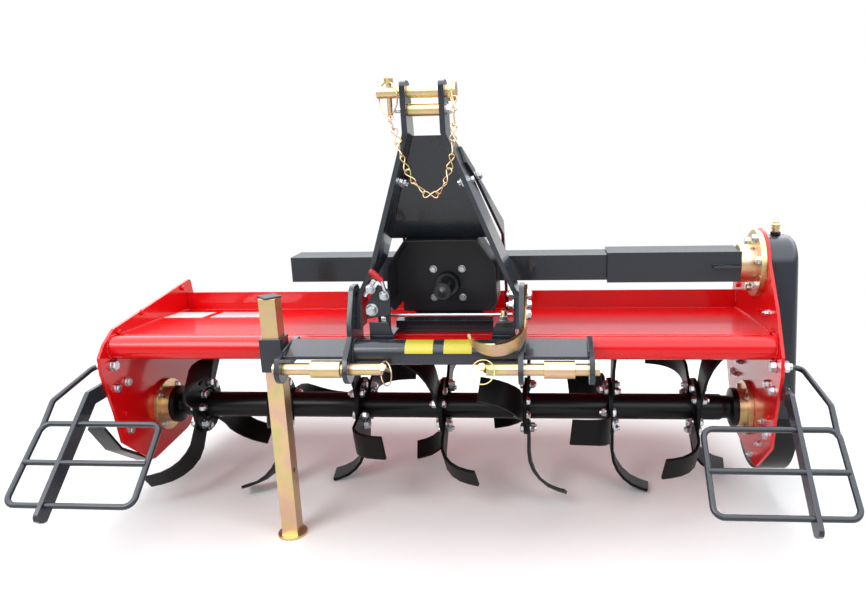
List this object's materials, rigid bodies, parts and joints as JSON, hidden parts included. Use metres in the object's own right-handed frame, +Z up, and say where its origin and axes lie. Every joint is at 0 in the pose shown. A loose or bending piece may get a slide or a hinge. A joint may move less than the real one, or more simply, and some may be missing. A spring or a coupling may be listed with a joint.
{
  "type": "rotary tiller",
  "caption": "Rotary tiller for a three-point hitch: red hood, side chain drive, rotor of curved blades, front guards, stand leg and rear board, with turning rotor.",
  "frame": {"origin": "on the floor, under the middle of the machine's bounding box", "axes": "+X to the side with the chain case, +Y rearward, away from the tractor, +Z up"},
  "size_m": [1.8526, 0.9786, 1.0895],
  "materials": {
    "red_enamel": "gloss enamel",
    "grey_enamel": "gloss enamel",
    "black_enamel": "gloss enamel",
    "yellow_zinc": "yellow chromate over zinc",
    "black_plastic": "moulded"
  },
  "bodies": {
    "frame": {"bearing_left": "yellow_zinc", "bearing_right": "yellow_zinc", "case_breather": "yellow_zinc", "chain_case": "grey_enamel", "clevis_bar_left": "grey_enamel", "clevis_bar_right": "grey_enamel", "clevis_inner_left": "grey_enamel", "clevis_inner_right": "grey_enamel", "clevis_outer_left": "grey_enamel", "clevis_outer_right": "grey_enamel", "deck": "red_enamel", "drive_beam_left": "grey_enamel", "drive_beam_right": "grey_enamel", "drive_flange": "yellow_zinc", "drive_sleeve": "grey_enamel", "front_tube": "red_enamel", "gearbox": "grey_enamel", "gearbox_crossbar": "grey_enamel", "guard_left": "grey_enamel", "guard_right": "grey_enamel", "hitch_tube": "grey_enamel", "lower_pin_left": "yellow_zinc", "lower_pin_right": "yellow_zinc", "mast_bar_left": "grey_enamel", "mast_bar_right": "grey_enamel", "mast_brace_left": "grey_enamel", "mast_brace_right": "grey_enamel", "mast_plate": "grey_enamel", "pto_shield": "black_enamel", "shaft_hook": "yellow_zinc", "side_plate_left": "red_enamel", "side_plate_right": "red_enamel", "skid_left": "black_enamel", "skid_right": "black_enamel", "stand_socket": "grey_enamel", "top_pin": "yellow_zinc", "top_spacer": "yellow_zinc"},
    "rotor": {"rotor_shaft": "black_enamel", "tine_set_1": "black_enamel", "tine_set_2": "black_enamel", "tine_set_3": "black_enamel", "tine_set_4": "black_enamel", "tine_set_5": "black_enamel", "tine_set_6": "black_enamel", "tine_set_7": "black_enamel"},
    "input": {"input_shaft": "black_enamel", "input_cap": "black_plastic"},
    "stand": {"stand_leg": "yellow_zinc"},
    "board": {"rear_board": "red_enamel"}
  },
  "joints": [
    {"name": "rotor_spin", "type": "hinge", "parent": "frame", "child": "rotor", "pos_m": [0, 0.04789, 0.23597], "axis": [1, 0, 0], "continuous": true},
    {"name": "input_spin", "type": "hinge", "parent": "frame", "child": "input", "pos_m": [0.024, 0, 0.59847], "axis": [0, -1, 0], "continuous": true},
    {"name": "stand_slide", "type": "slide", "parent": "frame", "child": "stand", "axis": [0, 0, 1], "range_m": [0, 0.3]},
    {"name": "board_hinge", "type": "hinge", "parent": "frame", "child": "board", "pos_m": [0, 0.25389, 0.46847], "axis": [1, 0, 0], "range_deg": [-36, 50]}
  ],
  "couplings": [
    {"joint": "input_spin", "follows": "rotor_spin", "ratio": 2.5}
  ]
}
